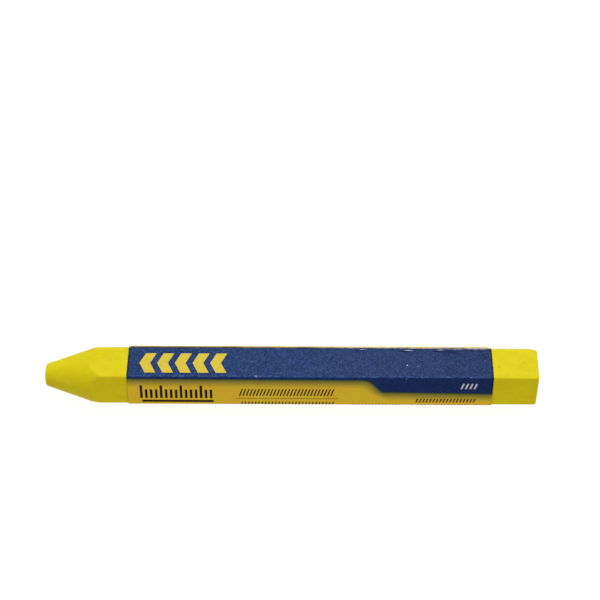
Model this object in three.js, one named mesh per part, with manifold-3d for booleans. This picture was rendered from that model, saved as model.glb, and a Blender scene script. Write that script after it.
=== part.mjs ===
// A hexagonal marking crayon: a moulded wax stick with a blunt conical nose, in a paper label that is wound
// once round it and closed by a line of paste. The stick isn't pasted, so the label slides along it.
// Millimetres, +Z up. The crayon lies along X on one flat, its nose towards -X. The origin is under the
// middle of the stick, on the surface that the label rests on.
import * as THREE from "three";
import { mergeVertices } from "three/addons/utils/BufferGeometryUtils.js";
import Module from "manifold-3d";

// Wax stick
const STICK_LENGTH = 114.3; // 4 1/2 in, nose to butt
const ACROSS_FLATS = 12.7; // 1/2 in
const LONG_EDGE_RADIUS = 0.5; // rounding of the six long edges
const BUTT_EDGE_RADIUS = 0.5; // rounding round the butt end
const TIP_DIAMETER = 5.2; // flat end of the nose, before its rim is rounded
const TIP_RIM_RADIUS = 0.35;
const NOSE_HALF_ANGLE = THREE.MathUtils.degToRad(19);
const SHOULDER_RADIUS = 6; // blend from the cone into the long edges
const SHOULDER_CLEARANCE = 0.05; // from the end of that blend out past the long edges

// Paper label
const LABEL_SETBACK = 19.8; // bare wax from the tip to the label
const LABEL_LENGTH = 84.1; // 3 5/16 in, along the stick
const PAPER_THICKNESS = 0.1;
const LABEL_CLEARANCE = 0.05; // sliding fit of the label round the wax
const FLAP_RAMP = 0.8; // where the flap climbs from the wax onto the sheet's first end
const SHEET_END_GAP = 0.15; // from the top of that climb to the sheet's first end
const FLAP_REVEAL = 0.2; // first layer left showing between the flap's edge and the next fold

// Paste line under the flap
const PASTE_THICKNESS = 0.06;
const PASTE_GAP = 0.02; // to the paper on either side
const PASTE_EDGE_MARGIN = 0.5; // to the flap's edge and to the sheet's first end
const PASTE_END_MARGIN = 1.5; // to each end of the label

// Fineness of the round forms
const TURNED_SEGMENTS = 96;
const ARC_STEPS = 5;
const FOLD_STEPS = 4;

// A hexagon's long edges lie every 60 degrees, and its faces half way between. Angles are about the stick's
// axis, from +Y towards +Z. The label starts low on the upper back face, runs over the top and down the
// front, and comes up the back again to its flap, which ends just short of the fold at the top.
const SIDES = 6;
const SIDE_ANGLE = (2 * Math.PI) / SIDES;
const HALF_SIDE_ANGLE = SIDE_ANGLE / 2;
const SEAM_FACE_ANGLE = HALF_SIDE_ANGLE; // the upper back face, between the long edges 0 and 1

const APOTHEM = ACROSS_FLATS / 2;
const FIRST_LAYER_INSIDE = APOTHEM + LABEL_CLEARANCE;
const FIRST_LAYER_OUTSIDE = FIRST_LAYER_INSIDE + PAPER_THICKNESS;
const FLAP_INSIDE = FIRST_LAYER_OUTSIDE + PASTE_THICKNESS + 2 * PASTE_GAP;
const FLAP_OUTSIDE = FLAP_INSIDE + PAPER_THICKNESS;
const AXIS_HEIGHT = FIRST_LAYER_OUTSIDE;

const WAX = new THREE.MeshStandardMaterial({ color: 0xe4d61a, roughness: 0.55, metalness: 0 });
const PRINTED_PAPER = new THREE.MeshStandardMaterial({ color: 0x34496f, roughness: 0.6, metalness: 0 });
const PASTE = new THREE.MeshStandardMaterial({ color: 0xe6dfc8, roughness: 0.5, metalness: 0 });

const wasm = await Module();
wasm.setup();

// Section geometry, in the plane across the stick.

// A point beside the axis, as (Y, Z) from it.
function polar(radius, angle) {
  return new THREE.Vector2(radius * Math.cos(angle), radius * Math.sin(angle));
}

// A point on a face: `apothem` out from the axis, and `along` counterclockwise from the face's middle.
function onFace(faceAngle, apothem, along) {
  return polar(apothem, faceAngle).add(polar(along, faceAngle + Math.PI / 2));
}

// The arc round one long edge of a hexagon with that apothem, in counterclockwise order.
function edgeArc(apothem, radius, edgeAngle) {
  const centre = polar((apothem - radius) / Math.cos(HALF_SIDE_ANGLE), edgeAngle);
  const points = [];
  for (let i = 0; i <= FOLD_STEPS; i++) {
    const angle = edgeAngle - HALF_SIDE_ANGLE + (SIDE_ANGLE * i) / FOLD_STEPS;
    points.push(centre.clone().add(polar(radius, angle)));
  }
  return points;
}

// How far from a face's middle the flat part of the face ends.
function flatHalfWidth(apothem, radius) {
  return (apothem - radius) * Math.tan(HALF_SIDE_ANGLE);
}

// Solids.

// Turns a section drawn as (Y, Z) into a body along X, from X = 0.
function extrudeAlongX(points, length) {
  const shape = new THREE.Shape(points);
  const geometry = new THREE.ExtrudeGeometry(shape, { depth: length, bevelEnabled: false });
  const toSection = new THREE.Matrix4().makeBasis(
    new THREE.Vector3(0, 1, 0),
    new THREE.Vector3(0, 0, 1),
    new THREE.Vector3(1, 0, 0),
  );
  return geometry.applyMatrix4(toSection);
}

// A closed body through convex rings of equally many points, each { x, points }, in order of rising X.
function loft(rings) {
  const count = rings[0].points.length;
  const corners = [];
  const triangles = [];
  for (const { x, points } of rings)
    for (const point of points) corners.push(x, point.x, point.y);
  for (let ring = 0; ring + 1 < rings.length; ring++)
    for (let i = 0; i < count; i++) {
      const here = ring * count + i;
      const beside = ring * count + ((i + 1) % count);
      triangles.push(here, beside, here + count, beside, beside + count, here + count);
    }
  const last = (rings.length - 1) * count;
  for (let i = 1; i + 1 < count; i++) {
    triangles.push(0, i + 1, i);
    triangles.push(last, last + i, last + i + 1);
  }
  return new THREE.BufferGeometry()
    .setAttribute("position", new THREE.Float32BufferAttribute(corners, 3))
    .setIndex(triangles);
}

function toSolid(geometry) {
  const bare = geometry.clone();
  bare.deleteAttribute("normal");
  bare.deleteAttribute("uv");
  const merged = mergeVertices(bare, 1e-4);
  return new wasm.Manifold(
    new wasm.Mesh({
      numProp: 3,
      vertProperties: new Float32Array(merged.getAttribute("position").array),
      triVerts: new Uint32Array(merged.index.array),
    }),
  );
}

function toGeometry(solid) {
  const { vertProperties, triVerts } = solid.getMesh();
  const geometry = new THREE.BufferGeometry()
    .setAttribute("position", new THREE.BufferAttribute(new Float32Array(vertProperties), 3))
    .setIndex(new THREE.BufferAttribute(new Uint32Array(triVerts), 1));
  geometry.computeVertexNormals();
  return geometry;
}

// The six-sided bar. It runs past the tip, where the nose is turned from it, and is rounded at the butt.
function hexBar() {
  const ring = (x, inset) => {
    const points = [];
    const edgeRadius = Math.max(LONG_EDGE_RADIUS - inset, LONG_EDGE_RADIUS / 10);
    for (let side = 0; side < SIDES; side++)
      points.push(...edgeArc(APOTHEM - inset, edgeRadius, side * SIDE_ANGLE));
    return { x, points };
  };
  const rings = [ring(-STICK_LENGTH / 2 - TIP_DIAMETER, 0)];
  for (let i = 0; i <= ARC_STEPS; i++) {
    const angle = (i / ARC_STEPS) * (Math.PI / 2);
    const inset = BUTT_EDGE_RADIUS * (1 - Math.cos(angle));
    rings.push(ring(STICK_LENGTH / 2 - BUTT_EDGE_RADIUS * (1 - Math.sin(angle)), inset));
  }
  return loft(rings);
}

// The turned outline that cuts the nose: a flat tip with a rounded rim, the cone, and the blend that lets
// it run out just past the long edges. It is drawn as (radius, X) and runs beyond the butt.
function noseOutline() {
  const tip = -STICK_LENGTH / 2;
  const slope = Math.tan(NOSE_HALF_ANGLE);
  const coneAngle = Math.PI / 2 - NOSE_HALF_ANGLE; // from the tip's plane round to the cone
  const rimTangent = TIP_RIM_RADIUS * Math.tan(coneAngle / 2);
  const rimCentre = new THREE.Vector2(TIP_DIAMETER / 2 - rimTangent, tip + TIP_RIM_RADIUS);
  const outer =
    (APOTHEM - LONG_EDGE_RADIUS) / Math.cos(HALF_SIDE_ANGLE) + LONG_EDGE_RADIUS + SHOULDER_CLEARANCE;
  const shoulderTangent = SHOULDER_RADIUS * Math.tan(NOSE_HALF_ANGLE / 2);
  const shoulderEnd = tip + (outer - TIP_DIAMETER / 2) / slope + shoulderTangent;
  const outline = [new THREE.Vector2(0, tip)];
  for (let i = 0; i <= ARC_STEPS; i++) {
    const angle = (i / ARC_STEPS) * coneAngle;
    outline.push(
      new THREE.Vector2(
        rimCentre.x + TIP_RIM_RADIUS * Math.sin(angle),
        rimCentre.y - TIP_RIM_RADIUS * Math.cos(angle),
      ),
    );
  }
  for (let i = ARC_STEPS; i >= 0; i--) {
    const angle = (i / ARC_STEPS) * NOSE_HALF_ANGLE;
    outline.push(
      new THREE.Vector2(
        outer - SHOULDER_RADIUS * (1 - Math.cos(angle)),
        shoulderEnd - SHOULDER_RADIUS * Math.sin(angle),
      ),
    );
  }
  const beyondButt = STICK_LENGTH / 2 + TIP_DIAMETER;
  outline.push(new THREE.Vector2(outer, beyondButt), new THREE.Vector2(0, beyondButt));
  return outline;
}

function waxStick() {
  const nose = new THREE.LatheGeometry(noseOutline(), TURNED_SEGMENTS).rotateZ(-Math.PI / 2);
  return toGeometry(toSolid(hexBar()).intersect(toSolid(nose)));
}

// Places along the seam face, counterclockwise from its middle.
const FOLD_END = flatHalfWidth(FIRST_LAYER_INSIDE, LONG_EDGE_RADIUS + LABEL_CLEARANCE);
const RAMP_TOP = FLAP_RAMP - FOLD_END;
const SHEET_START = RAMP_TOP + SHEET_END_GAP;
const FLAP_EDGE = FOLD_END - FLAP_REVEAL;

// One side of the sheet, from its first end round the stick to the edge of its flap.
function sheetSide(firstLayer, flap) {
  const foldRadius = LONG_EDGE_RADIUS + firstLayer - APOTHEM;
  const points = [onFace(SEAM_FACE_ANGLE, firstLayer, SHEET_START)];
  for (let side = 1; side <= SIDES; side++)
    points.push(...edgeArc(firstLayer, foldRadius, side * SIDE_ANGLE));
  points.push(onFace(SEAM_FACE_ANGLE, flap, RAMP_TOP), onFace(SEAM_FACE_ANGLE, flap, FLAP_EDGE));
  return points;
}

function paperLabel() {
  const inside = sheetSide(FIRST_LAYER_INSIDE, FLAP_INSIDE);
  const outside = sheetSide(FIRST_LAYER_OUTSIDE, FLAP_OUTSIDE);
  return extrudeAlongX([...inside, ...outside.reverse()], LABEL_LENGTH);
}

function pasteLine() {
  const under = FIRST_LAYER_OUTSIDE + PASTE_GAP;
  const over = FLAP_INSIDE - PASTE_GAP;
  const from = SHEET_START + PASTE_EDGE_MARGIN;
  const to = FLAP_EDGE - PASTE_EDGE_MARGIN;
  const section = [
    onFace(SEAM_FACE_ANGLE, under, from),
    onFace(SEAM_FACE_ANGLE, over, from),
    onFace(SEAM_FACE_ANGLE, over, to),
    onFace(SEAM_FACE_ANGLE, under, to),
  ];
  return extrudeAlongX(section, LABEL_LENGTH - 2 * PASTE_END_MARGIN);
}

function named(name, geometry, material) {
  const mesh = new THREE.Mesh(geometry, material);
  mesh.name = name;
  return mesh;
}

// The sleeve: the label and the paste that closes it, which slide along the stick together.
const sleeve = new THREE.Group();
sleeve.position.x = LABEL_SETBACK - STICK_LENGTH / 2;
const paste = named("paste_line", pasteLine(), PASTE);
paste.position.x = PASTE_END_MARGIN;
sleeve.add(named("paper_label", paperLabel(), PRINTED_PAPER), paste);

const crayon = new THREE.Group();
crayon.position.z = AXIS_HEIGHT;
crayon.add(named("wax_stick", waxStick(), WAX), sleeve);

const part = new THREE.Group();
part.add(crayon);

export default part;
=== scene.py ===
# The looks of a hexagonal marking crayon: a moulded wax stick in a printed paper sleeve.
# Lengths are in metres unless a name says otherwise. The crayon lies along X, its nose towards -X.
import bpy
import math
from collections import namedtuple
from mathutils import Matrix, Vector, noise


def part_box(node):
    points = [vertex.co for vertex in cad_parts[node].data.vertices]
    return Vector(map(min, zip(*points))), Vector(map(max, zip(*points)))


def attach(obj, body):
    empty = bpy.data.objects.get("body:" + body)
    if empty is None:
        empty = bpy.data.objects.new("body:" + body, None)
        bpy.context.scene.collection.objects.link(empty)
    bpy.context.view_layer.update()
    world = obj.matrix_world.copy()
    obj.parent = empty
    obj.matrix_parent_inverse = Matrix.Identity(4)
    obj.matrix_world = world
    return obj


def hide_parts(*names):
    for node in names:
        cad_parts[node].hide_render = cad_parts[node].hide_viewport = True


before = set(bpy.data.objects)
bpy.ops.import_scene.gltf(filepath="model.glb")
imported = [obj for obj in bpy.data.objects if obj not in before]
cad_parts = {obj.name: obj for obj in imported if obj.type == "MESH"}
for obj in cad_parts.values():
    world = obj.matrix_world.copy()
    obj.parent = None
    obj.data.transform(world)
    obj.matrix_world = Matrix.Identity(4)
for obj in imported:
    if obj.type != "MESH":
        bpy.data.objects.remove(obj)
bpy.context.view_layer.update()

MM = 0.001

# Where the frame says that things are
WAX_LOW, WAX_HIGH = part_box("wax_stick")
LABEL_LOW, LABEL_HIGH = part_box("paper_label")
AXIS_Z = (WAX_LOW.z + WAX_HIGH.z) / 2
WAX_APOTHEM = (WAX_HIGH.z - WAX_LOW.z) / 2
LABEL_APOTHEM = AXIS_Z - LABEL_LOW.z
LABEL_LENGTH = LABEL_HIGH.x - LABEL_LOW.x

# The hexagon: its long edges lie every 60 degrees from +Y towards +Z, its faces half way between
SIDES = 6
SIDE = math.radians(360 / SIDES)
HALF_SIDE = SIDE / 2

# The wax stick
LONG_EDGE_RADIUS = 0.38 * MM
BUTT_EDGE_RADIUS = 0.5 * MM
# The butt's middle has sunk: how deep, and from which share of its width out it rises to the rim
BUTT_SINK = 0.18 * MM
BUTT_FLOOR, BUTT_RIM = 0.2, 0.97
# The butt is cut out of square: how far it stands out, and how that grows towards +Y and +Z
BUTT_OUT = 0.13 * MM
BUTT_OUT_GROWTH = Vector((0, 0.0177, 0.0071))
BUTT_STRETCH = 12 * MM
TIP_RADIUS = 2.6 * MM
TIP_RIM_RADIUS = 0.25 * MM
TIP_DOME = 0.05 * MM
NOSE_HALF_ANGLE = math.radians(19)
NOSE_BLEND = 0.1 * MM
NOSE_OFF_CENTRE = -0.1 * MM
SHOULDER_START = 9.6 * MM
SHOULDER_END = 14.4 * MM
# The cast surface strays from true: how long its waves and dents are, and how high or deep
SLOW_WAVE, SLOW_WAVE_HEIGHT = 7 * MM, 0.035 * MM
QUICK_WAVE, QUICK_WAVE_HEIGHT = 1.6 * MM, 0.012 * MM
DENT, DENT_DEPTH, DENT_LEAST = 2.3 * MM, 0.35 * MM, 0.3
# It starts past the tip's rim, is full a little further on, and lies inside the true surface
UNEVEN_FROM, UNEVEN_FULL = 0.3 * MM, 3 * MM
WAX_INSET = 0.02 * MM
# How far apart the rings of points are
NOSE_STEP = 0.25 * MM
SHOULDER_STEP = 0.12 * MM
BAR_STEP = 0.6 * MM
BUTT_STEP = 0.35 * MM
ROUNDING_STEPS = 8
# The rings on the tip and on the butt, as shares of the way from the middle to the rim
TIP_RINGS = (0.2, 0.4, 0.6, 0.8, 0.95)
BUTT_RINGS = (BUTT_RIM, 0.92, 0.85, 0.75, 0.6, 0.45, 0.3, 0.15)

# The paper sleeve
PAPER = 0.1 * MM
FOLD_RADIUS = 0.5 * MM
SHEET_START = -2.43 * MM
FLAP_RISE = 0.2 * MM
FLAP_RAMP = 0.8 * MM
# The flap's edge stops short of the fold at the front, and just laps over it at the rear
FLAP_REACH_FRONT = -0.45 * MM
FLAP_REACH_REAR = 0.16 * MM
FLAP_SKEW_START = 24 * MM
FLAP_SKEW_END = 54 * MM
# The flap's edge is cut by hand: how far it wanders slowly and quickly, and how its fibres fluff up
FLAP_WANDER, FLAP_NIBBLE = 0.08 * MM, 0.05 * MM
FRAY, FRAY_DEPTH = 0.055 * MM, 0.12 * MM
# How far the sheet stands off: all over, and curled at the label's ends and along the flap's edge, with
# how soon each curl fades
SHEET_LIFT = 0.03 * MM
END_CURL, END_CURL_FADE = 0.07 * MM, 0.7 * MM
FLAP_CURL, FLAP_CURL_FADE = 0.17 * MM, 0.5 * MM
# The share of it that is left under the flap
LIFT_UNDER_FLAP = 0.2


def srgb(red, green, blue):
    """An 8-bit screen colour as the linear RGBA that Blender's colour sockets take."""
    def linear(value):
        value /= 255
        return value / 12.92 if value <= 0.04045 else ((value + 0.055) / 1.055) ** 2.4
    return (linear(red), linear(green), linear(blue), 1)


def clamp(value, low=0.0, high=1.0):
    return max(low, min(high, value))


def smooth_step(value, low, high):
    t = clamp((value - low) / (high - low))
    return t * t * (3 - 2 * t)


def smooth_min(a, b, blend):
    h = clamp(0.5 + 0.5 * (b - a) / blend)
    return b + (a - b) * h - blend * h * (1 - h)


def spaced(low, high, step):
    """Evenly spaced values from low up to, and without, high."""
    count = max(1, round((high - low) / step))
    return [low + (high - low) * i / count for i in range(count)]


# Camera, set where the photograph was taken from

CAMERA_TARGET = Vector((2.24, 24.15, 0)) * MM
CAMERA_ELEVATION = math.radians(60.13)
CAMERA_AZIMUTH = math.radians(-0.38)
CAMERA_ROLL = math.radians(-0.09)
CAMERA_DISTANCE = 279.04 * MM
FOCAL_PIXELS = 1110.4
IMAGE_PIXELS = 600
SENSOR_MM = 36


def make_camera():
    data = bpy.data.cameras.new("camera")
    data.sensor_width = SENSOR_MM
    data.lens = SENSOR_MM * FOCAL_PIXELS / IMAGE_PIXELS
    data.clip_start, data.clip_end = 0.01, 20
    camera = bpy.data.objects.new("camera", data)
    bpy.context.scene.collection.objects.link(camera)
    forward = Vector((
        math.sin(CAMERA_AZIMUTH) * math.cos(CAMERA_ELEVATION),
        math.cos(CAMERA_AZIMUTH) * math.cos(CAMERA_ELEVATION),
        -math.sin(CAMERA_ELEVATION),
    ))
    level = Vector((math.cos(CAMERA_AZIMUTH), -math.sin(CAMERA_AZIMUTH), 0))
    above = level.cross(forward)
    right = level * math.cos(CAMERA_ROLL) + above * math.sin(CAMERA_ROLL)
    up = above * math.cos(CAMERA_ROLL) - level * math.sin(CAMERA_ROLL)
    pose = Matrix((right, up, -forward)).transposed().to_4x4()
    pose.translation = CAMERA_TARGET - forward * CAMERA_DISTANCE
    camera.matrix_world = pose
    bpy.context.scene.camera = camera


make_camera()


# Mesh helpers

def section_point(x, radius, angle):
    return Vector((x, radius * math.cos(angle), AXIS_Z + radius * math.sin(angle)))


def set_uv(obj, name, corner_uvs):
    """corner_uvs holds, for each face, one place for each of its corners."""
    layer = obj.data.uv_layers.new(name=name)
    flat = [value for uvs in corner_uvs for uv in uvs for value in uv]
    layer.data.foreach_set("uv", flat)


def make_object(name, vertices, faces, smooth=True):
    mesh = bpy.data.meshes.new(name)
    mesh.from_pydata(vertices, [], faces)
    mesh.validate()
    if smooth:
        mesh.shade_smooth()
    mesh.update()
    obj = bpy.data.objects.new(name, mesh)
    bpy.context.scene.collection.objects.link(obj)
    return obj


# Wax stick

FLAT_END = math.atan((WAX_APOTHEM - LONG_EDGE_RADIUS) * math.tan(HALF_SIDE) / WAX_APOTHEM)
FLAT_STOPS = [0, 0.09, 0.18, 0.27, 0.36, 0.45, 0.54, 0.63, 0.72, 0.8, 0.87, 0.93, 0.97, 0.99, 1]
EDGE_STEPS = 8


def side_angles():
    """Angles from a face's middle to the next face's middle, closest together round the long edge."""
    flat = [FLAT_END * stop for stop in FLAT_STOPS]
    edge = [FLAT_END + (SIDE - 2 * FLAT_END) * i / EDGE_STEPS for i in range(1, EDGE_STEPS)]
    return flat + edge + [SIDE - angle for angle in reversed(flat[1:])]


WAX_ANGLES = [HALF_SIDE + side * SIDE + angle for side in range(SIDES) for angle in side_angles()]


def hexagon_radius(angle, apothem, edge_radius):
    """Distance from the axis to a hexagon with rounded edges, in that direction."""
    from_face = abs((angle % SIDE) - HALF_SIDE)
    if apothem * math.tan(from_face) <= (apothem - edge_radius) * math.tan(HALF_SIDE):
        return apothem / math.cos(from_face)
    from_edge = HALF_SIDE - from_face
    centre = (apothem - edge_radius) / math.cos(HALF_SIDE)
    across = centre * math.sin(from_edge)
    return centre * math.cos(from_edge) + math.sqrt(max(0.0, edge_radius ** 2 - across ** 2))


def wax_unevenness(x, angle):
    """How far the cast surface strays from true: slow waves, and a few dents along the edges."""
    place = section_point(x, WAX_APOTHEM, angle)
    slow = noise.noise(place / SLOW_WAVE) * SLOW_WAVE_HEIGHT
    quick = noise.noise(place / QUICK_WAVE + Vector((5, 1, 3))) * QUICK_WAVE_HEIGHT
    at_edge = smooth_step(abs((angle % SIDE) - HALF_SIDE), FLAT_END * 0.93, HALF_SIDE)
    at_edge *= smooth_step(x - WAX_LOW.x, SHOULDER_START, SHOULDER_END)
    dents = max(0.0, noise.noise(place / DENT + Vector((9, 2, 7))) - DENT_LEAST) * DENT_DEPTH
    return slow + quick - dents * at_edge


def nose_radius(radius, angle):
    """Distance from the bar's axis to a round of that radius, turned a little off the bar's axis."""
    across = NOSE_OFF_CENTRE * math.sin(angle)
    return NOSE_OFF_CENTRE * math.cos(angle) + math.sqrt(max(0.0, radius ** 2 - across ** 2))


def wax_rings():
    """Rings of (X, radius at each angle), from the tip's middle to the butt's middle."""
    tip, butt = WAX_LOW.x, WAX_HIGH.x
    length = butt - tip
    slope = math.tan(NOSE_HALF_ANGLE)
    rim_turn = math.pi / 2 - NOSE_HALF_ANGLE
    rim_centre = TIP_RADIUS - TIP_RIM_RADIUS * math.tan(rim_turn / 2)
    rings = []
    for share in TIP_RINGS:
        radii = [nose_radius(rim_centre * share, angle) for angle in WAX_ANGLES]
        rings.append((tip + TIP_DOME * share ** 2, radii))
    for i in range(ROUNDING_STEPS + 1):
        turn = rim_turn * i / ROUNDING_STEPS
        x = tip + TIP_DOME + TIP_RIM_RADIUS * (1 - math.cos(turn))
        radius = rim_centre + TIP_RIM_RADIUS * math.sin(turn)
        rings.append((x, [nose_radius(radius, angle) for angle in WAX_ANGLES]))
    stations = spaced(UNEVEN_FROM, SHOULDER_START, NOSE_STEP)
    stations += spaced(SHOULDER_START, SHOULDER_END, SHOULDER_STEP)
    stations += spaced(SHOULDER_END, length - BUTT_STRETCH, BAR_STEP)
    stations += spaced(length - BUTT_STRETCH, length - BUTT_EDGE_RADIUS, BUTT_STEP)
    for station in stations:
        cone = TIP_RADIUS + station * slope
        settle = smooth_step(station, UNEVEN_FROM, UNEVEN_FULL)
        radii = []
        for angle in WAX_ANGLES:
            bar = hexagon_radius(angle, WAX_APOTHEM, LONG_EDGE_RADIUS)
            nose = nose_radius(cone, angle)
            uneven = wax_unevenness(tip + station, angle) * settle
            radii.append(smooth_min(nose, bar, NOSE_BLEND) + min(0.0, uneven - WAX_INSET))
        rings.append((tip + station, radii))
    for i in range(1, ROUNDING_STEPS + 1):
        turn = math.pi / 2 * i / ROUNDING_STEPS
        inset = BUTT_EDGE_RADIUS * (1 - math.cos(turn))
        x = butt - BUTT_EDGE_RADIUS * (1 - math.sin(turn))
        radii = [
            hexagon_radius(angle, WAX_APOTHEM - inset, LONG_EDGE_RADIUS) - WAX_INSET
            for angle in WAX_ANGLES
        ]
        rings.append((x, radii))
    rim = WAX_APOTHEM - BUTT_EDGE_RADIUS
    for share in BUTT_RINGS:
        sink = BUTT_SINK * (1 - smooth_step(share, BUTT_FLOOR, BUTT_RIM))
        radii = [hexagon_radius(angle, rim, LONG_EDGE_RADIUS) * share for angle in WAX_ANGLES]
        rings.append((butt - sink, radii))
    return rings


def out_of_square(point):
    """Moves a point of the bar's last stretch along X, for the butt's slanting cut."""
    share = smooth_step(point.x, WAX_HIGH.x - BUTT_STRETCH, WAX_HIGH.x)
    from_axis = point - Vector((0, 0, AXIS_Z))
    return point + Vector((share * (BUTT_OUT + BUTT_OUT_GROWTH.dot(from_axis)), 0, 0))


def make_wax_stick():
    vertices = [Vector((WAX_LOW.x, 0, AXIS_Z))]
    rings = wax_rings()
    for x, radii in rings:
        vertices += [section_point(x, radius, angle) for radius, angle in zip(radii, WAX_ANGLES)]
    vertices.append(Vector((WAX_HIGH.x - BUTT_SINK, 0, AXIS_Z)))
    vertices = [out_of_square(point) for point in vertices]
    count = len(WAX_ANGLES)
    last = len(vertices) - 1
    shares = [(ring + 1) / (len(rings) + 1) for ring in range(len(rings))]
    faces, bake = [], []
    for i in range(count):
        after = (i + 1) % count
        low, high = i / count, (i + 1) / count
        faces.append((0, 1 + after, 1 + i))
        bake.append([(0, (low + high) / 2), (shares[0], high), (shares[0], low)])
        start = last - count
        faces.append((last, start + i, start + after))
        bake.append([(1, (low + high) / 2), (shares[-1], low), (shares[-1], high)])
        for ring in range(len(rings) - 1):
            here = 1 + ring * count
            faces.append((here + i, here + after, here + count + after, here + count + i))
            here_u, next_u = shares[ring], shares[ring + 1]
            bake.append([(here_u, low), (here_u, high), (next_u, high), (next_u, low)])
    obj = make_object("cast_wax_stick", vertices, faces)
    set_uv(obj, "OFBake", bake)
    return obj


# Paper sleeve

FLAT_STEPS = 16
TOP_STEPS = 26
FOLD_STEPS = 8
RAMP_STEPS = 6
SEAM_FACE = HALF_SIDE
TOP_SIDE = 1
RIDGE_ANGLE = 2 * SIDE
MIDDLE_APOTHEM = LABEL_APOTHEM - PAPER / 2
FOLD_CENTRE = (MIDDLE_APOTHEM - FOLD_RADIUS) / math.cos(HALF_SIDE)
FLAT_HALF_WIDTH = (MIDDLE_APOTHEM - FOLD_RADIUS) * math.tan(HALF_SIDE)
FACE_WIDTH = 2 * FLAT_HALF_WIDTH + FOLD_RADIUS * SIDE

# Lips of ink and paper raised beside the fold behind the top face, in millimetres: the middle along
# the label and round from the ridge, the size and height, and how strong the pale lens along the top is,
# worn bare paper with a painted glint
Lip = namedtuple("Lip", "u v length width height bare")
LIPS = [
    Lip(64.3, -6.98, 3.3, 0.4, 0.09, 0.95),
    Lip(71.75, -7.06, 2.4, 0.34, 0.06, 0.7),
    Lip(53.7, -7.17, 2.7, 0.3, 0.04, 0.5),
]
FULL_SHADOW_HEIGHT = 0.06  # a lip this high or higher has its full shadow

SheetPoint = namedtuple("SheetPoint", "place out around to_flap_edge hidden")


def outward(angle):
    return Vector((0, math.cos(angle), math.sin(angle)))


def face_point(face_angle, apothem, along):
    """A point on a face, seen along the axis, along counterclockwise from the face's middle."""
    return outward(face_angle) * apothem + outward(face_angle + math.pi / 2) * along


def fold_points(edge_angle):
    points = []
    for i in range(1, FOLD_STEPS):
        angle = edge_angle - HALF_SIDE + SIDE * i / FOLD_STEPS
        points.append((outward(edge_angle) * FOLD_CENTRE + outward(angle) * FOLD_RADIUS, outward(angle)))
    return points


def flat_points(face_angle, start=-FLAT_HALF_WIDTH, steps=FLAT_STEPS):
    """Points over a face's flat part, closest together beside the folds."""
    points = []
    for i in range(steps + 1):
        share = 0.5 - 0.5 * math.cos(math.pi * i / steps)
        along = start + (FLAT_HALF_WIDTH - start) * share
        points.append((face_point(face_angle, MIDDLE_APOTHEM, along), outward(face_angle)))
    return points


def sheet_section():
    """The sheet's middle surface as (place, outward direction), from its first end to the flap's fold."""
    points = flat_points(SEAM_FACE, start=SHEET_START)
    for side in range(1, SIDES):
        points += fold_points(side * SIDE)
        steps = TOP_STEPS if side == TOP_SIDE else FLAT_STEPS
        points += flat_points(SEAM_FACE + side * SIDE, steps=steps)
    points += fold_points(SIDES * SIDE)
    return points


def flap_point(along):
    """On the flap, along from its face's middle. Past the flat part it bends round the fold."""
    if along <= FLAT_HALF_WIDTH:
        return face_point(SEAM_FACE, MIDDLE_APOTHEM + FLAP_RISE, along), outward(SEAM_FACE)
    radius = FOLD_RADIUS + FLAP_RISE
    angle = SEAM_FACE + (along - FLAT_HALF_WIDTH) / radius
    return outward(SIDE) * FOLD_CENTRE + outward(angle) * radius, outward(angle)


def flap_section(edge):
    """The flap's middle surface, from the fold below it up its ramp and on to its edge."""
    points = []
    for i in range(RAMP_STEPS + 1):
        along = -FLAT_HALF_WIDTH + FLAP_RAMP * i / RAMP_STEPS
        rise = FLAP_RISE * smooth_step(i / RAMP_STEPS, 0, 1)
        points.append((face_point(SEAM_FACE, MIDDLE_APOTHEM + rise, along), outward(SEAM_FACE)))
    ramp_end = FLAP_RAMP - FLAT_HALF_WIDTH
    for i in range(1, FLAT_STEPS + 1):
        share = math.sin(math.pi / 2 * i / FLAT_STEPS)
        points.append(flap_point(ramp_end + (edge - ramp_end) * share))
    return points


def flap_edge(along_label):
    """Where the flap's cut edge lies on its face: set a little askew, and cut by hand."""
    turn = smooth_step(along_label, FLAP_SKEW_START, FLAP_SKEW_END)
    reach = FLAP_REACH_FRONT + (FLAP_REACH_REAR - FLAP_REACH_FRONT) * turn
    slow = noise.noise(Vector((along_label / (3.1 * MM), 4, 0))) * FLAP_WANDER
    quick = noise.noise(Vector((along_label / (0.8 * MM), 6, 0))) * FLAP_NIBBLE
    return FLAT_HALF_WIDTH + reach + slow + quick


def paper_lift(along_label, point):
    """How far the sheet stands off where it would lie flat."""
    waves = noise.noise(Vector((along_label / (9 * MM), point.around / (5 * MM), 0)))
    lift = (0.5 + 0.5 * waves) * SHEET_LIFT
    from_end = min(along_label, LABEL_LENGTH - along_label)
    curl = 0.5 + noise.noise(Vector((point.around / (4 * MM), along_label / LABEL_LENGTH * 3, 8)))
    lift += clamp(curl) * END_CURL * math.exp(-from_end / END_CURL_FADE)
    loose = clamp(0.25 + 1.3 * noise.noise(Vector((along_label / (6.5 * MM), 2, 1))))
    lift += loose * FLAP_CURL * math.exp(-point.to_flap_edge / FLAP_CURL_FADE)
    for lip in LIPS:
        u = (along_label / MM - lip.u) / (lip.length / 2)
        v = (point.around / MM - lip.v) / (lip.width / 2)
        lift += lip.height * MM * max(0.0, 1 - u * u - v * v) ** 1.5
    # Pressed flat under the crayon and under the flap
    lift *= smooth_step(point.out.z, -1.0, -0.8)
    return lift * (LIFT_UNDER_FLAP if point.hidden else 1.0)


def label_stations():
    """Places along the label, closest together at its ends. The numbers are millimetres."""
    length = LABEL_LENGTH / MM
    first = [0, 0.12, 0.3, 0.55, 0.9]
    last = [length - value for value in reversed(first)]
    even_from, even_to = 1.4, length - 1.4
    inner = spaced(even_from, even_to, 0.35)
    return [value * MM for value in first + inner + [even_to] + last]


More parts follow.
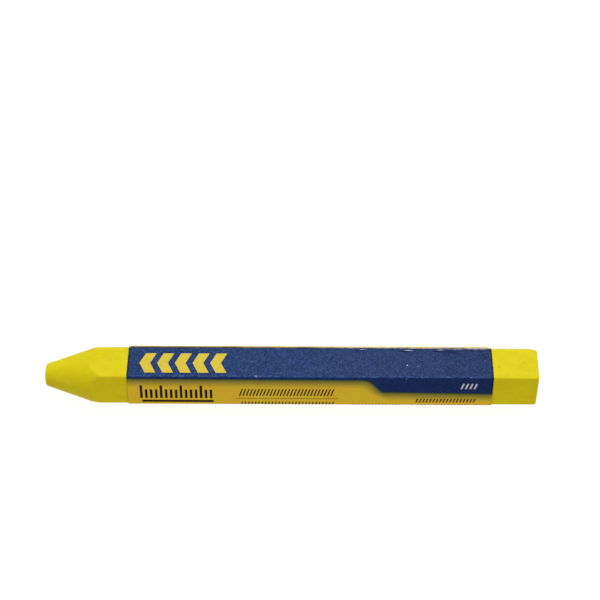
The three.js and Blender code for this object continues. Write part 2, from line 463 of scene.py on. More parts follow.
def sheet_columns():
    """The sheet's points for each station along the label."""
    sheet = sheet_section()
    ridge = outward(RIDGE_ANGLE) * (FOLD_CENTRE + FOLD_RADIUS)
    columns = []
    for along_label in label_stations():
        points = sheet + flap_section(flap_edge(along_label))
        ways = [0.0]
        for (a, _), (b, _) in zip(points, points[1:]):
            ways.append(ways[-1] + (b - a).length)
        ridge_way = min(((place - ridge).length, way) for (place, _), way in zip(points, ways))[1]
        columns.append((along_label, [
            SheetPoint(place, out, way - ridge_way, ways[-1] - way, i <= FLAT_STEPS)
            for i, ((place, out), way) in enumerate(zip(points, ways))
        ]))
    return columns


# The print's map holds lengths over PRINT_UNIT. PRINT_OFFSET keeps those round the label above 0
PRINT_UNIT = 100 * MM
PRINT_OFFSET = 20 * MM
PRINTED, PLAIN, CUT = 0, 1, 2
# The bake map: two broad bands for the grids, as (start, height), and four strips for the rims
BAKE_MARGIN, BAKE_SPAN = 0.01, 0.98
BAKE_BANDS = {"outside": (0.005, 0.6), "inside": (0.615, 0.3)}
BAKE_STRIP_START, BAKE_STRIP_PITCH, BAKE_STRIP_HEIGHT = 0.93, 0.016, 0.01


def make_sleeve():
    """The sheet as a thin solid: an outside and an inside grid, joined round their rims."""
    columns = sheet_columns()
    rows = len(columns[0][1])
    count = len(columns)
    inside = count * rows
    vertices, print_uv, edge_uv = [], [], []
    for side in (1, -1):
        for along_label, points in columns:
            for point in points:
                half = PAPER / 2 + FRAY * math.exp(-point.to_flap_edge / FRAY_DEPTH)
                at = point.place + point.out * (side * half + paper_lift(along_label, point))
                vertices.append(Vector((LABEL_LOW.x + along_label, at.y, AXIS_Z + at.z)))
                print_uv.append((along_label / PRINT_UNIT, (point.around + PRINT_OFFSET) / PRINT_UNIT))
                edge_uv.append((point.to_flap_edge / PRINT_UNIT, 0.5))
    along_share = [along_label / LABEL_LENGTH for along_label, _ in columns]
    total_way = columns[0][1][-1].around - columns[0][1][0].around
    round_share = [(p.around - columns[0][1][0].around) / total_way for p in columns[0][1]]

    def grid_uv(band, column, row):
        low, span = BAKE_BANDS[band]
        return (BAKE_MARGIN + BAKE_SPAN * along_share[column], low + span * round_share[row])

    def strip_uv(strip, share, side):
        low = BAKE_STRIP_START + strip * BAKE_STRIP_PITCH
        return (BAKE_MARGIN + BAKE_SPAN * share, low + side * BAKE_STRIP_HEIGHT)

    faces, kinds, bake = [], [], []

    def add(kind, corners, uvs):
        faces.append(corners)
        kinds.append(kind)
        bake.append(uvs)

    for c in range(count - 1):
        for r in range(rows - 1):
            grid = [(c, r), (c, r + 1), (c + 1, r + 1), (c + 1, r)]
            corners = [column * rows + row for column, row in grid]
            add(PRINTED, corners, [grid_uv("outside", *place) for place in grid])
            grid.reverse()
            corners = [inside + column * rows + row for column, row in grid]
            add(PLAIN, corners, [grid_uv("inside", *place) for place in grid])
    for r in range(rows - 1):
        share, after = round_share[r], round_share[r + 1]
        last = (count - 1) * rows + r
        add(CUT, [r, r + inside, r + inside + 1, r + 1],
            [strip_uv(0, share, 0), strip_uv(0, share, 1), strip_uv(0, after, 1), strip_uv(0, after, 0)])
        add(CUT, [last, last + 1, last + inside + 1, last + inside],
            [strip_uv(1, share, 0), strip_uv(1, after, 0), strip_uv(1, after, 1), strip_uv(1, share, 1)])
    for c in range(count - 1):
        share, after = along_share[c], along_share[c + 1]
        a, b = c * rows, c * rows + rows - 1
        add(CUT, [a, a + rows, a + rows + inside, a + inside],
            [strip_uv(2, share, 0), strip_uv(2, after, 0), strip_uv(2, after, 1), strip_uv(2, share, 1)])
        add(CUT, [b, b + inside, b + rows + inside, b + rows],
            [strip_uv(3, share, 0), strip_uv(3, share, 1), strip_uv(3, after, 1), strip_uv(3, after, 0)])
    obj = make_object("printed_paper_sleeve", vertices, faces)
    set_uv(obj, "Print", [[print_uv[corner] for corner in face] for face in faces])
    set_uv(obj, "Edge", [[edge_uv[corner] for corner in face] for face in faces])
    set_uv(obj, "OFBake", bake)
    for polygon, kind in zip(obj.data.polygons, kinds):
        polygon.material_index = kind
        polygon.use_smooth = kind != CUT
    return obj


# Material helpers

class Shader:
    """A material's node tree, built from plain calls. Every value may be a number, a colour or a socket."""

    def __init__(self, name):
        self.material = bpy.data.materials.new(name)
        self.material.use_nodes = True
        self.tree = self.material.node_tree
        self.surface = self.tree.nodes["Principled BSDF"]

    def node(self, kind, inputs=(), **settings):
        made = self.tree.nodes.new(kind)
        for key, value in settings.items():
            setattr(made, key, value)
        for key, value in dict(inputs).items():
            self.feed(made.inputs[key], value)
        return made

    def feed(self, socket, value):
        if isinstance(value, bpy.types.NodeSocket):
            self.tree.links.new(value, socket)
        elif socket.type == "VECTOR":
            socket.default_value = value[:3]
        else:
            socket.default_value = value

    def set(self, **values):
        """Feeds the surface's sockets, named with underscores for spaces."""
        for key, value in values.items():
            self.feed(self.surface.inputs[key.replace("_", " ")], value)

    def math(self, operation, a, b=0.0, c=0.0):
        made = self.node("ShaderNodeMath", {0: a, 1: b, 2: c}, operation=operation)
        return made.outputs[0]

    def product(self, first, *others):
        for other in others:
            first = self.math("MULTIPLY", first, other)
        return first

    def union(self, first, *others):
        for other in others:
            first = self.math("MAXIMUM", first, other)
        return first

    def without(self, mask, hole):
        return self.product(mask, self.math("SUBTRACT", 1.0, hole))

    def above(self, value, edge, soft):
        """0 below the edge and 1 above it, with a soft step."""
        half = soft / 2
        made = self.node("ShaderNodeMapRange", interpolation_type="SMOOTHSTEP")
        self.feed(made.inputs["Value"], value)
        for name, bound in (("From Min", -half), ("From Max", half)):
            if isinstance(edge, bpy.types.NodeSocket):
                self.feed(made.inputs[name], self.math("ADD", edge, bound))
            else:
                self.feed(made.inputs[name], edge + bound)
        return made.outputs["Result"]

    def between(self, value, low, high, soft):
        return self.without(self.above(value, low, soft), self.above(value, high, soft))

    def remap(self, value, from_low, from_high, to_low, to_high):
        made = self.node("ShaderNodeMapRange", {
            "Value": value,
            "From Min": from_low,
            "From Max": from_high,
            "To Min": to_low,
            "To Max": to_high,
        })
        return made.outputs["Result"]

    def mix(self, factor, a, b):
        made = self.node("ShaderNodeMix", data_type="RGBA")
        colour_a, colour_b = (s for s in made.inputs if s.type == "RGBA")
        self.feed(made.inputs[0], factor)
        self.feed(colour_a, a)
        self.feed(colour_b, b)
        return next(s for s in made.outputs if s.type == "RGBA")

    def brighten(self, colour, factor):
        """The colour times a number."""
        made = self.node("ShaderNodeVectorMath", operation="SCALE")
        self.feed(made.inputs[0], colour)
        self.feed(made.inputs["Scale"], factor)
        return made.outputs[0]

    def place(self):
        """Object coordinates in millimetres."""
        coordinates = self.node("ShaderNodeTexCoord").outputs["Object"]
        made = self.node("ShaderNodeVectorMath", {0: coordinates}, operation="SCALE")
        made.inputs["Scale"].default_value = 1 / MM
        return made.outputs[0]

    def stretched(self, vector, x, y, z):
        made = self.node("ShaderNodeVectorMath", {0: vector, 1: (x, y, z)}, operation="MULTIPLY")
        return made.outputs[0]

    def noise(self, vector, size, detail=2.0, rough=0.5, shift=0.0):
        """Soft noise from 0 to 1 whose blotches are about size millimetres wide."""
        made = self.node("ShaderNodeTexNoise", {
            "Vector": vector, "Scale": 1 / size, "Detail": detail, "Roughness": rough,
        }, noise_dimensions="4D")
        made.inputs["W"].default_value = shift
        return made.outputs["Fac"]

    def spots(self, vector, size, share, soft=0.1):
        """Scattered round spots: size is the mean way from one to the next, share their width over it."""
        made = self.node("ShaderNodeTexVoronoi", {"Vector": vector, "Scale": 1 / size})
        return self.without(1.0, self.above(made.outputs["Distance"], share / 2, soft))

    def bump(self, height, distance, strength=1.0, below=None):
        made = self.node("ShaderNodeBump", {"Height": height, "Distance": distance, "Strength": strength})
        if below is not None:
            self.feed(made.inputs["Normal"], below)
        return made.outputs["Normal"]


# Wax

WAX_YELLOW = srgb(217, 203, 14)
WAX_PALE = srgb(226, 215, 54)
WAX_DEEP = srgb(208, 187, 10)
WAX_DIRT = srgb(150, 132, 22)

# Small pits and smudges on the top face, as (X, Y, radius, strength), in millimetres
WAX_MARKS = [
    (-41.4, 0.6, 0.3, 1.0),
    (-45.8, -1.9, 0.2, 0.6),
    (48.2, -0.7, 0.42, 0.9),
    (50.9, 2.2, 0.22, 0.5),
    (54.0, 0.3, 0.5, 0.6),
    (53.2, -0.5, 0.75, 0.4),
    (51.5, -0.3, 0.4, 0.3),
    (55.6, 1.2, 0.55, 0.3),
]


def make_wax_material():
    m = Shader("cast_yellow_wax")
    at = m.place()
    clouds = m.noise(at, 4.5, 3, 0.55)
    streaks = m.noise(m.stretched(at, 0.3, 1, 1), 1.3, 3, 0.6, shift=3.0)
    grain = m.noise(at, 0.45, 3, 0.7, shift=1.0)
    colour = m.mix(m.remap(clouds, 0.35, 0.7, 0, 0.6), WAX_YELLOW, WAX_DEEP)
    colour = m.mix(m.remap(streaks, 0.5, 0.8, 0, 0.45), colour, WAX_PALE)
    colour = m.brighten(colour, m.remap(grain, 0.3, 0.7, 0.965, 1.035))
    pits = m.product(m.spots(at, 2.9, 0.13, 0.08), m.above(m.noise(at, 4.0, shift=7.0), 0.5, 0.1))
    ragged = m.remap(m.noise(at, 0.5, 3, 0.7, shift=11.0), 0.3, 0.7, 0.5, 1.5)
    for x, y, radius, strength in WAX_MARKS:
        apart = m.node("ShaderNodeVectorMath", {0: at, 1: (x, y, WAX_HIGH.z / MM)}, operation="DISTANCE")
        reach = m.product(apart.outputs["Value"], ragged)
        mark = m.without(1.0, m.above(reach, radius * 0.65, radius * 1.2))
        pits = m.union(pits, m.product(mark, strength))
    colour = m.mix(m.product(pits, 0.4), colour, WAX_DIRT)
    m.set(
        Base_Color=colour,
        Roughness=m.remap(clouds, 0.3, 0.7, 0.52, 0.66),
        Specular_IOR_Level=0.1,
        Subsurface_Weight=0.12,
        Subsurface_Radius=(1.0, 0.7, 0.15),
        Subsurface_Scale=0.9 * MM,
    )
    smear = m.noise(m.stretched(at, 0.2, 1, 1), 0.9, 3, 0.6, shift=2.0)
    ripple = m.math("ADD", m.product(grain, 0.5), m.product(smear, 0.6))
    m.set(Normal=m.bump(m.math("SUBTRACT", ripple, pits), 0.025 * MM, 0.7))
    return m.material


# Printed paper. The print is drawn in millimetres: u from the label's front edge, v round from the ridge

FIELD_BLUE = srgb(1, 33, 79)
# Painted light: the blue's copy for the front face, bluer for how that face is lit
PAINTED_LIGHT_FRONT_BLUE = srgb(2, 34, 88)
FIELD_YELLOW = srgb(222, 188, 45)
FIELD_ORANGE = srgb(222, 172, 45)
PRINT_SHADE = srgb(40, 78, 54)
SHADE_CORE = srgb(16, 20, 30)
PRINT_GOLD = srgb(211, 188, 60)
INK_FLECK = srgb(87, 119, 185)
PRINT_BLACK = srgb(24, 15, 6)
PRINT_WHITE = srgb(205, 212, 222)
RULE_BROWN = srgb(92, 56, 12)
BARE_PAPER = srgb(232, 228, 214)
PAPER_STAIN = srgb(226, 210, 130)
CUT_EDGE_BROWN = srgb(140, 118, 62)
PASTE_PALE = srgb(226, 214, 178)
PASTE_BROWN = srgb(196, 176, 128)
# Pale worn ink; on the lips' tops it also serves as a painted glint
WORN_INK_AND_GLINT = srgb(206, 210, 230)
END_SHADOW = srgb(6, 10, 34)
# Painted shade: the dark blue of the crease lines, and of the shadows under the lips and the flap's edge
CREASE_SHADE_BLUE = srgb(0, 8, 56)

PRINT_SOFT = 0.07  # blur at the edge of every printed shape

# The blue field's lower edge: just below the ridge, then a slanted step down to the lower level
BLUE_EDGE, BLUE_EDGE_FALL = 0.53, 0.004
STEP_START, STEP_END = 55.6, 58.7
BLUE_EDGE_LOW, BLUE_EDGE_DROP = 3.77, 0.014
SHADE_WIDTH, SHADE_CORE_WIDTH = 2.5, 0.42
SHADE_BLEND = 1.6  # how far the shades of two edges run together in a corner

# What is printed on the fields, as (left, right, top, bottom)
SCALE = (2.8, 19.8, 2.3, 5.8)
SCALE_LINE = (3.2, 19.8, 6.3, 6.9)
BAR_ROWS = [(25.6, 48.2, top, top + 1.9) for top in (3.2, 6.7, 10.2, 13.7)]
BAR_ROWS += [(66.4, 80.7, *rows) for rows in ((5.7, 6.75), (7.3, 9.0), (9.8, 11.5), (12.3, 14.0))]
BAR_ROWS += [(51.2, right, top, top + 1.6) for top, right in ((7.2, 63.4), (9.8, 60.2), (12.4, 63.4))]
BAR_ROWS += [
    (left, left + length, top, top + 1.6)
    for top, length in ((24.1, 30.0), (26.5, 25.5))
    for left in (8.0, 46.0)
]
RULES = [(24.9, 48.6, top, top + 0.16) for top in (5.72, 9.2, 12.7)]
WHITE_BARS = (76.6, 81.2, 1.5, 2.95)

REAR_INK = 0.84  # how dark the blue is at the rear, against the middle

# Small nicks in the ink, as (u, v, half their length, strength)
INK_NICKS = [
    (64.4, -3.2, 0.17, 0.75),
    (29.7, -0.22, 0.35, 0.25),
    (64.1, 0.25, 0.2, 0.14),
    (28.4, -3.9, 0.3, 0.07),
    (66.9, -2.9, 0.2, 0.15),
]

# Creases dented into the paper, as (u, v) from and to, half their width and strength.
# Each dents the bump and darkens the colour with painted shade.
# The last is no crease: a painted shadow line under the flap's lifted edge.
CREASES_AND_SHADOW_LINE = [
    (71.2, -6.76, 74.6, -6.7, 0.36, 1.0),
    (72.7, -6.93, 77.6, -6.05, 0.58, 0.8),
    (75.6, -6.6, 78.4, -5.4, 0.25, 0.3),
    (78.2, -6.2, 80.6, -4.5, 0.25, 0.25),
    # No crease: a painted shadow line under the flap's lifted edge
    (71.0, -6.96, 88.0, -6.96, 0.4, 0.4),
]

# Folds where the ink is rubbed, as (v, the least noise that shows there, strength)
WORN_FOLDS = [
    (-0.1, 0.68, 0.35),
    (-FACE_WIDTH / MM, 0.66, 0.6),
    (FACE_WIDTH / MM, 0.64, 0.6),
]
FRAYED_FROM = 72  # the u from which the fold behind the top face is frayed
CHIPPED_FROM = 47  # the u from which the ink is chipped off along the flap's edge


def below_blue(m, u, v, blend=0.0):
    """How far a place is below the blue field, or less than 0 inside it; less in a blended corner."""
    rise = (BLUE_EDGE_LOW - BLUE_EDGE) / (STEP_END - STEP_START)
    upper = m.math("MULTIPLY_ADD", m.math("SUBTRACT", u, STEP_START), BLUE_EDGE_FALL, BLUE_EDGE)
    below_upper = m.math("SUBTRACT", v, upper)
    low = m.math("MULTIPLY_ADD", m.math("SUBTRACT", u, STEP_END), BLUE_EDGE_DROP, BLUE_EDGE_LOW)
    below_low = m.math("SUBTRACT", v, low)
    slant = m.math("MULTIPLY_ADD", m.math("SUBTRACT", u, STEP_START), rise, BLUE_EDGE)
    beside_slant = m.product(m.math("SUBTRACT", v, slant), 1 / math.hypot(1, rise))
    inside = m.math("MINIMUM", m.math("MAXIMUM", below_low, beside_slant), 0.0)
    out_low = m.math("MAXIMUM", below_low, 0.0)
    out_slant = m.math("MAXIMUM", beside_slant, 0.0)
    outside = m.math("SQRT", m.math("ADD", m.product(out_low, out_low), m.product(out_slant, out_slant)))
    return m.math("SMOOTH_MIN", below_upper, m.math("ADD", inside, outside), blend)


def panel(m, u, v, left, right, top, bottom):
    """1 inside a rectangle."""
    return m.product(m.between(u, left, right, PRINT_SOFT), m.between(v, top, bottom, PRINT_SOFT))


def bars(m, value, start, count, pitch, width):
    """A row of bars across the way that value grows, from start on."""
    row = m.between(value, start, start + (count - 1) * pitch + width, PRINT_SOFT)
    phase = m.math("FRACT", m.math("DIVIDE", m.math("SUBTRACT", value, start), pitch))
    soft = PRINT_SOFT / pitch
    return m.product(row, m.between(phase, soft / 2, width / pitch, soft))


def how_many(length, pitch, width):
    """The number of whole bars that fit in a length."""
    return math.floor((length - width) / pitch) + 1


def chevrons(m, u, v, left=2.7, top=-6.0, bottom=-1.05, count=5, pitch=4.08, width=2.5, lean=0.55):
    """A row of chevrons that point to the nose."""
    back = m.product(m.math("ABSOLUTE", m.math("SUBTRACT", v, (top + bottom) / 2)), lean)
    straight = m.math("SUBTRACT", u, back)
    return m.product(m.between(v, top, bottom, PRINT_SOFT), bars(m, straight, left, count, pitch, width))


def hatching(m, u, v, left, right, top, bottom, pitch=0.78, width=0.36, lean=0.35):
    """A row of leaning bars, as many as fit whole."""
    slid = m.math("MULTIPLY_ADD", v, lean, u)
    count = how_many(right - left - lean * (bottom - top), pitch, width)
    row = bars(m, slid, left + lean * bottom, count, pitch, width)
    return m.product(m.between(v, top, bottom, PRINT_SOFT), row)


def scale_bars(m, u, v, left, right, top, bottom, pitch=1.15, width=0.62, long_every=4, short=1.1):
    """Upright bars like a measuring scale's, a long one every so many."""
    row = bars(m, u, left, how_many(right - left, pitch, width), pitch, width)
    cycle = m.math("FRACT", m.math("DIVIDE", m.math("SUBTRACT", u, left), pitch * long_every))
    is_long = m.without(1.0, m.above(cycle, 1 / long_every, 0.01))
    tall = m.union(is_long, m.above(v, top + short, PRINT_SOFT))
    return m.product(row, m.between(v, top, bottom, PRINT_SOFT), tall)


def make_print_material():
    m = Shader("printed_paper")
    sheet = m.node("ShaderNodeUVMap", uv_map="Print").outputs[0]
    scaled = m.node("ShaderNodeVectorMath", {0: sheet}, operation="SCALE")
    scaled.inputs["Scale"].default_value = PRINT_UNIT / MM
    on_sheet = scaled.outputs[0]
    parts = m.node("ShaderNodeSeparateXYZ", {0: on_sheet})
    u = parts.outputs["X"]
    v = m.math("SUBTRACT", parts.outputs["Y"], PRINT_OFFSET / MM)

    # Yellow field, its tint and its shade below the blue
    tint = m.noise(on_sheet, 9.0, 2, 0.5, shift=2.0)
    colour = m.mix(m.remap(tint, 0.42, 0.66, 0, 0.4), FIELD_YELLOW, FIELD_ORANGE)
    grain = m.noise(on_sheet, 0.4, 2, 0.6, shift=15.0)
    colour = m.brighten(colour, m.remap(grain, 0.3, 0.7, 0.95, 1.05))
    shaded = below_blue(m, u, v, SHADE_BLEND)
    colour = m.mix(m.remap(shaded, 0, SHADE_WIDTH, 0.98, 0), colour, PRINT_SHADE)
    colour = m.mix(m.remap(shaded, 0, SHADE_CORE_WIDTH, 0.75, 0), colour, SHADE_CORE)

    # Black on yellow
    black = m.union(scale_bars(m, u, v, *SCALE), panel(m, u, v, *SCALE_LINE))
    black = m.union(black, *(hatching(m, u, v, *row) for row in BAR_ROWS))
    colour = m.mix(black, colour, PRINT_BLACK)
    rules = m.union(*(panel(m, u, v, *rule) for rule in RULES))
    colour = m.mix(m.product(rules, 0.85), colour, RULE_BROWN)

    # Blue field, gold chevrons and white bars on it
    blue = m.without(1.0, m.above(below_blue(m, u, v), 0.0, PRINT_SOFT))
    ink = m.noise(on_sheet, 0.42, 3, 0.7, shift=4.0)
    colour = m.mix(blue, colour, blue_wear_and_painted_light(m, on_sheet, u, v))
    gold = m.brighten(PRINT_GOLD, m.remap(ink, 0.3, 0.7, 0.9, 1.08))
    colour = m.mix(chevrons(m, u, v), colour, gold)
    white = hatching(m, u, v, *WHITE_BARS, pitch=1.0, width=0.46)
    colour = m.mix(m.product(white, 0.85), colour, PRINT_WHITE)

    # Wear: pinholes in the ink, rubbed folds and chips. Then the raised lips, with bare paper and a
    # painted glint on top and a painted shadow below, and the crease lines with their painted shade
    some_places = m.above(m.noise(on_sheet, 1.4, 2, shift=6.0), 0.56, 0.1)
    pinholes = m.product(m.spots(on_sheet, 0.9, 0.16, 0.1), some_places)
    wear = m.union(m.product(pinholes, 0.22), fold_wear(m, on_sheet, u, v))
    colour = m.mix(wear, colour, m.mix(blue, BARE_PAPER, WORN_INK_AND_GLINT))
    colour = m.mix(chipped_margin(m, on_sheet, u), colour, BARE_PAPER)
    colour = lip_wear_glint_and_shadow(m, on_sheet, u, v, colour)
    dent_and_shade = crease_dents_and_shade(m, u, v)
    # Painted shade in the crease lines, and a painted shadow line under the flap's edge
    colour = m.mix(dent_and_shade, colour, CREASE_SHADE_BLUE)
    m.set(Base_Color=colour, Roughness=m.remap(ink, 0.3, 0.7, 0.38, 0.5), Specular_IOR_Level=0.08)
    fibres = m.noise(m.stretched(on_sheet, 0.5, 1, 1), 0.22, 4, 0.6, shift=8.0)
    waves = m.noise(on_sheet, 2.6, 2, 0.5, shift=9.0)
    height = m.math("SUBTRACT", m.math("ADD", m.product(fibres, 0.4), waves), m.product(dent_and_shade, 1.5))
    m.set(Normal=m.bump(height, 0.018 * MM, 0.7))
    return m.material


def blue_wear_and_painted_light(m, on_sheet, u, v):
    """Blue ink: mottled, with pale flecks above the ridge and along it, darker towards the rear.
    Painted light: below the ridge the front face gets its own bluer copy of the ink,
    and a painted shadow line darkens the label's ends.
    """
    above_ridge = m.without(1.0, m.above(v, 0.0, 0.5))
    mottle = m.noise(on_sheet, 3.5, 4, 0.6, shift=5.0)
    # Painted light: below the ridge the front face takes its lit copy of the blue, with fewer pale flecks
    colour = m.brighten(m.mix(above_ridge, PAINTED_LIGHT_FRONT_BLUE, FIELD_BLUE), m.remap(mottle, 0.3, 0.7, 0.88, 1.12))
    speckle = m.remap(m.noise(on_sheet, 0.33, 3, 0.65, shift=12.0), 0.4, 0.75, 0, 0.46)
    colour = m.mix(m.product(speckle, m.remap(above_ridge, 0, 1, 0.4, 1)), colour, INK_FLECK)
    flecks = m.noise(m.stretched(on_sheet, 0.4, 1, 1), 0.5, 3, 0.7, shift=3.0)
    ridge = m.product(m.between(v, -0.42, 0.0, 0.2), flecks)
    colour = m.mix(m.remap(ridge, 0.46, 0.7, 0, 0.6), colour, INK_FLECK)
    colour = m.brighten(colour, m.remap(u, 40, 84, 1, REAR_INK))
    from_end = m.math("MINIMUM", u, m.math("SUBTRACT", LABEL_LENGTH / MM, u))
    return m.mix(m.remap(from_end, 0.15, 0.45, 0.9, 0), colour, END_SHADOW)


def fold_wear(m, on_sheet, u, v):
    """Where the ink is rubbed or nicked off, mostly along the folds."""
    patches = []
    for fold, least, strength in WORN_FOLDS:
        near = m.without(1.0, m.above(m.math("ABSOLUTE", m.math("SUBTRACT", v, fold)), 0.08, 0.14))
        rub = m.noise(m.stretched(on_sheet, 0.5, 1, 1), 0.6, 2, 0.5, shift=fold + 12)
        patches.append(m.product(near, m.above(rub, least, 0.12), strength))
    fibres = m.noise(m.stretched(on_sheet, 0.7, 1, 1), 0.8, 4, 0.7, shift=17.0)
    frayed = m.product(m.between(v, -7.7, -7.27, 0.12), m.above(u, FRAYED_FROM, 4))
    patches.append(m.product(frayed, m.remap(fibres, 0.4, 0.65, 0.0, 0.55)))
    ragged = m.remap(m.noise(on_sheet, 0.22, 2, 0.6, shift=18.0), 0.3, 0.7, 0.6, 1.4)
    for nick_u, nick_v, radius, strength in INK_NICKS:
        across = m.product(m.math("SUBTRACT", v, nick_v), 1 + radius * 2)
        along = m.math("SUBTRACT", u, nick_u)
        apart = m.math("SQRT", m.math("ADD", m.product(across, across), m.product(along, along)))
        nick = m.without(1.0, m.above(m.product(apart, ragged), radius, radius))
        patches.append(m.product(nick, strength))
    return m.union(*patches)


def crease_dents_and_shade(m, u, v):
    """A crease's strength along its middle, falling to 0 beside it and towards its ends.
    It sets both the dent and the darkness of its painted shade.
    """
    dent_and_shade = []
    for start_u, start_v, end_u, end_v, half, strength in CREASES_AND_SHADOW_LINE:
        length = math.hypot(end_u - start_u, end_v - start_v)
        way_u, way_v = (end_u - start_u) / length, (end_v - start_v) / length
        from_u, from_v = m.math("SUBTRACT", u, start_u), m.math("SUBTRACT", v, start_v)
        along = m.math("ADD", m.product(from_u, way_u), m.product(from_v, way_v))
        across = m.math("SUBTRACT", m.product(from_v, way_u), m.product(from_u, way_v))
        line = m.without(1.0, m.above(m.math("ABSOLUTE", across), half / 2, half))
        begun = m.above(along, length * 0.1, length * 0.2)
        ended = m.above(along, length * 0.8, length * 0.4)
        dent_and_shade.append(m.product(line, m.without(begun, ended), strength))
    return m.union(*dent_and_shade)


def chipped_margin(m, on_sheet, u):
    """Where the ink has come off beside the flap's cut edge."""
    edge_map = m.node("ShaderNodeUVMap", uv_map="Edge").outputs[0]
    to_edge = m.product(m.node("ShaderNodeSeparateXYZ", {0: edge_map}).outputs["X"], PRINT_UNIT / MM)
    ragged = m.noise(m.stretched(on_sheet, 1, 0, 0), 0.7, 3, 0.7, shift=14.0)
    width = m.remap(ragged, 0.3, 0.7, 0.02, 0.3)
    bare = m.without(1.0, m.above(to_edge, width, 0.06))
    return m.product(bare, m.above(u, CHIPPED_FROM, 12))


def lens(m, u, v, middle_u, middle_v, half_length, half_width):
    """1 inside a lens that lies along the label, falling softly to 0 at its rim."""
    along = m.math("DIVIDE", m.math("SUBTRACT", u, middle_u), half_length)
    across = m.math("DIVIDE", m.math("SUBTRACT", v, middle_v), half_width)
    arch = m.math("SUBTRACT", 1.0, m.product(along, along))
    return m.above(m.math("SUBTRACT", arch, m.math("ABSOLUTE", across)), 0.2, 0.4)


def lip_wear_glint_and_shadow(m, on_sheet, u, v, colour):
    """A raised lip shows bare paper along its top, in a bluish white that is partly a painted glint,
    and a painted shadow: a dark line where it casts its shadow.
    """
    wander = m.noise(on_sheet, 0.35, 3, 0.6, shift=19.0)
    v = m.math("ADD", v, m.remap(wander, 0.25, 0.75, -0.07, 0.07))
    for lip in LIPS:
        half = lip.length / 2
        bare = lens(m, u, v, lip.u + 0.38 * half, lip.v - 0.02, 0.85 * half, 0.09)
        # Bare paper with a painted glint along the lip's top
        colour = m.mix(m.product(bare, lip.bare), colour, WORN_INK_AND_GLINT)
        shadow = lens(m, u, v, lip.u - 0.14 * half, lip.v + 0.27, 1.15 * half, 0.22)
        colour = m.mix(m.product(shadow, min(1.0, lip.height / FULL_SHADOW_HEIGHT)), colour, CREASE_SHADE_BLUE)
    return colour


def make_paper_back_material():
    m = Shader("unprinted_paper")
    at = m.place()
    stain = m.noise(at, 4.0, 3, 0.6)
    colour = m.mix(m.remap(stain, 0.4, 0.75, 0.1, 0.6), BARE_PAPER, PAPER_STAIN)
    m.set(Base_Color=colour, Roughness=0.8, Specular_IOR_Level=0.15)
    m.set(Normal=m.bump(m.noise(at, 0.25, 4, 0.6), 0.015 * MM, 0.8))
    return m.material


def make_cut_edge_material():
    m = Shader("cut_paper_edge")
    at = m.place()
    colour = m.mix(m.remap(m.noise(at, 0.6, 3, 0.6), 0.45, 0.75, 0, 1), BARE_PAPER, CUT_EDGE_BROWN)
    x = m.node("ShaderNodeSeparateXYZ", {0: at}).outputs["X"]
    # The cut edge is darker brown from the label's front back to about CHIPPED_FROM, and pale behind it
    pale_behind = m.above(x, LABEL_LOW.x / MM + CHIPPED_FROM, 16)
    colour = m.mix(m.product(m.math("SUBTRACT", 1.0, pale_behind), 0.8), colour, CUT_EDGE_BROWN)
    m.set(Base_Color=colour, Roughness=0.85, Specular_IOR_Level=0.1)
    m.set(Normal=m.bump(m.noise(at, 0.12, 3, 0.6), 0.02 * MM, 0.8))
    return m.material


def make_paste_material():
    m = Shader("dried_paste")
    at = m.place()
    colour = m.mix(m.noise(at, 1.2, 3, 0.6), PASTE_PALE, PASTE_BROWN)
    m.set(Base_Color=colour, Roughness=m.remap(m.noise(at, 0.7), 0.3, 0.7, 0.35, 0.6))
    m.set(Normal=m.bump(m.noise(at, 0.5, 3), 0.02 * MM))
    return m.material


# Floor and light

FLOOR_RADIUS = 1.4
FLOOR_SIDES = 96
SWEEP_RADIUS = 0.8
SWEEP_STEPS = 12
WALL_HEIGHT = 3.0
FLOOR_GAP = 0.02 * MM
FLOOR_GLOW = 0.91
FLOOR_WHITE = (0.25, 0.25, 0.25, 1)
SKY_GREY = (0.45, 0.45, 0.455, 1)
HORIZON_GREY = (0.65, 0.65, 0.65, 1)
BELOW_GREY = (0.885, 0.8, 0.715, 1)
HORIZON_HEIGHT = 0.16
KEY_WAY = Vector((0.12, 0.33, 0.936))
KEY_DISTANCE = 0.6
KEY_SIZE = 0.55
KEY_WATTS = 3.0


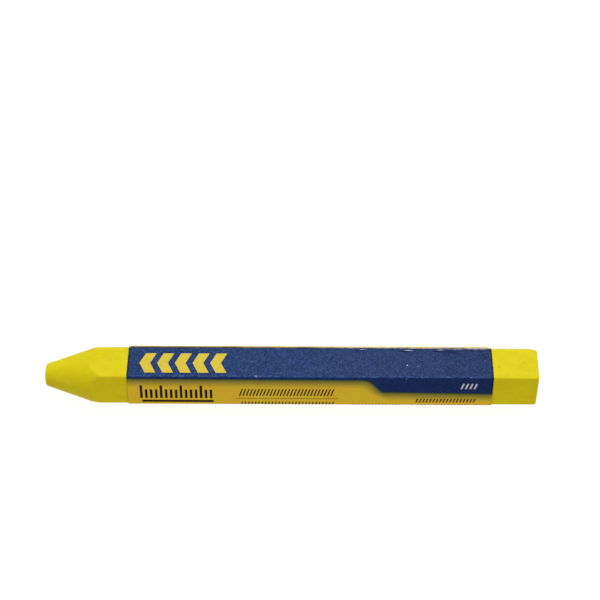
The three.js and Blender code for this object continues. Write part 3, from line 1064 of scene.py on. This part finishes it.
def make_floor():
    """A white floor that sweeps up into a wall all round, so that it has no edge from any side."""
    level = min(WAX_LOW.z, LABEL_LOW.z) - FLOOR_GAP
    rings = [(FLOOR_RADIUS, 0.0)]
    for i in range(1, SWEEP_STEPS + 1):
        turn = math.pi / 2 * i / SWEEP_STEPS
        rings.append((FLOOR_RADIUS + SWEEP_RADIUS * math.sin(turn), SWEEP_RADIUS * (1 - math.cos(turn))))
    rings.append((FLOOR_RADIUS + SWEEP_RADIUS, WALL_HEIGHT))
    corners = []
    for radius, height in rings:
        for i in range(FLOOR_SIDES):
            angle = 2 * math.pi * i / FLOOR_SIDES
            corners.append((radius * math.cos(angle), radius * math.sin(angle), level + height))
    faces = [tuple(range(FLOOR_SIDES))]
    for start in range(0, (len(rings) - 1) * FLOOR_SIDES, FLOOR_SIDES):
        for i in range(FLOOR_SIDES):
            here, after = start + i, start + (i + 1) % FLOOR_SIDES
            faces.append((here, here + FLOOR_SIDES, after + FLOOR_SIDES, after))
    floor = make_object("floor", corners, faces)
    m = Shader("white_floor")
    m.set(Base_Color=FLOOR_WHITE, Roughness=0.9, Specular_IOR_Level=0.0)
    m.set(Emission_Color=(1, 1, 1, 1), Emission_Strength=FLOOR_GLOW)
    floor.data.materials.append(m.material)
    floor.visible_glossy = False
    floor.visible_diffuse = False
    floor.visible_shadow = False


def make_light():
    world = bpy.data.worlds.new("studio")
    world.use_nodes = True
    nodes, links = world.node_tree.nodes, world.node_tree.links
    direction = nodes.new("ShaderNodeTexCoord").outputs["Generated"]
    parts = nodes.new("ShaderNodeSeparateXYZ")
    links.new(direction, parts.inputs[0])
    height = nodes.new("ShaderNodeMapRange")
    height.inputs["From Min"].default_value = -1
    links.new(parts.outputs["Z"], height.inputs["Value"])
    sky = nodes.new("ShaderNodeValToRGB")
    links.new(height.outputs["Result"], sky.inputs["Fac"])
    stops = sky.color_ramp.elements
    stops[0].position, stops[0].color = 0.49, BELOW_GREY
    stops[1].position, stops[1].color = 0.5, HORIZON_GREY
    stops.new(0.5 + HORIZON_HEIGHT / 2).color = SKY_GREY
    links.new(sky.outputs["Color"], nodes["Background"].inputs["Color"])
    bpy.context.scene.world = world
    data = bpy.data.lights.new("key", "AREA")
    data.shape = "DISK"
    data.size = KEY_SIZE
    data.energy = KEY_WATTS
    key = bpy.data.objects.new("key", data)
    bpy.context.scene.collection.objects.link(key)
    key.location = KEY_WAY.normalized() * KEY_DISTANCE
    key.rotation_euler = key.location.to_track_quat("Z", "Y").to_euler()


# Put together

wax = make_wax_stick()
wax.data.materials.append(make_wax_material())
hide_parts("wax_stick")
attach(wax, "stick")

sleeve = make_sleeve()
for material in (make_print_material(), make_paper_back_material(), make_cut_edge_material()):
    sleeve.data.materials.append(material)
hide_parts("paper_label")
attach(sleeve, "sleeve")

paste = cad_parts["paste_line"]
paste.material_slots[0].material = make_paste_material()

make_floor()
make_light()
bpy.context.scene.view_settings.view_transform = "Standard"
